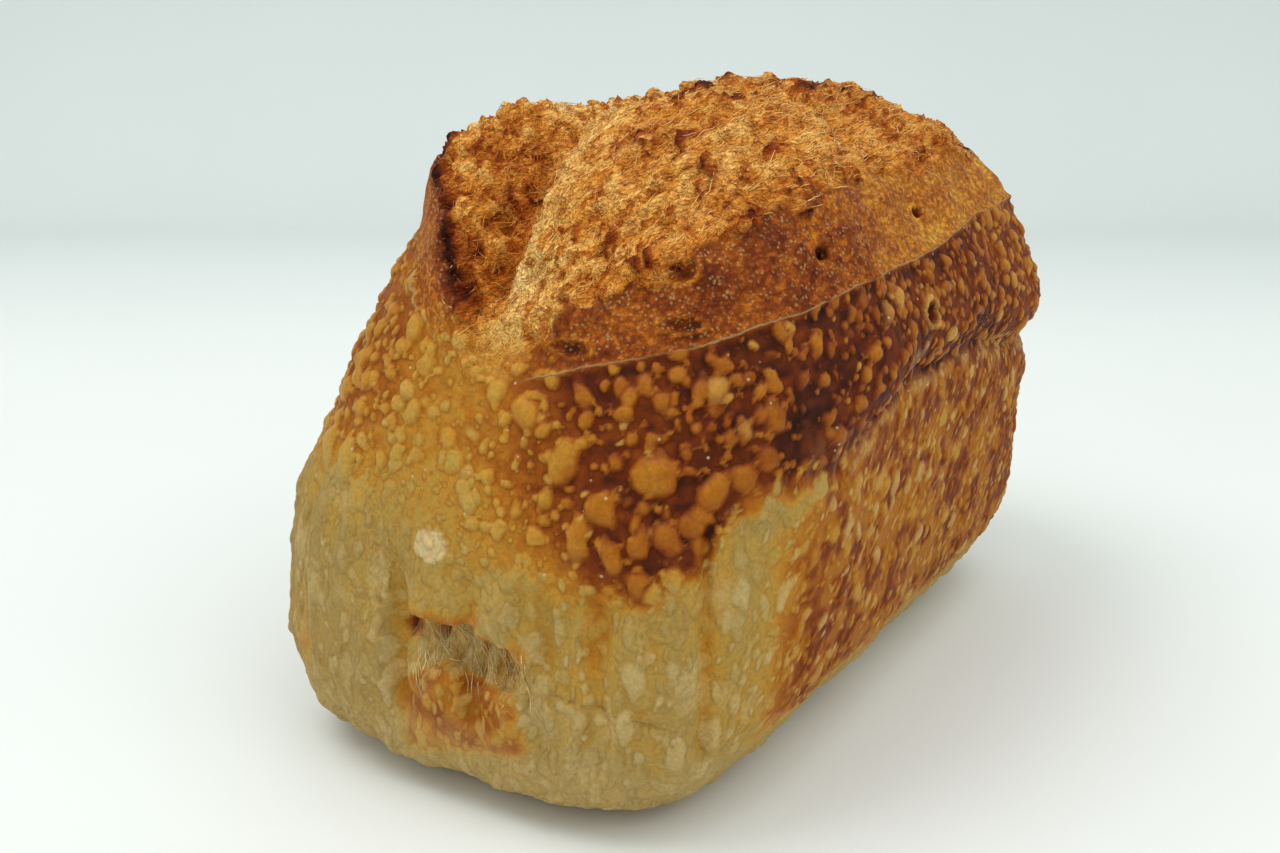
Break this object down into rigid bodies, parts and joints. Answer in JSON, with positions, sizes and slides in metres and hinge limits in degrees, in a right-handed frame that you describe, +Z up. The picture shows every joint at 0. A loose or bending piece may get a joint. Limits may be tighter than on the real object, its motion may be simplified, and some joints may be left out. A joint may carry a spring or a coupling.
{
  "type": "sourdough loaf",
  "caption": "Tin-baked sourdough loaf, rounded box with a domed top, a long torn cut beside a raised ear of crust, and a flat base to stand on",
  "frame": {"origin": "bottom centre of the loaf, on the surface it stands on", "axes": "+Y along the loaf towards its back end, +X to its right side, +Z up; the front end with the start of the cut faces -Y"},
  "size_m": [0.1288, 0.2078, 0.1422],
  "materials": {
    "crust": "baked crust, golden to dark brown, blistered, paler at the foot"
  },
  "bodies": {
    "root": {"loaf": "crust"}
  },
  "joints": []
}
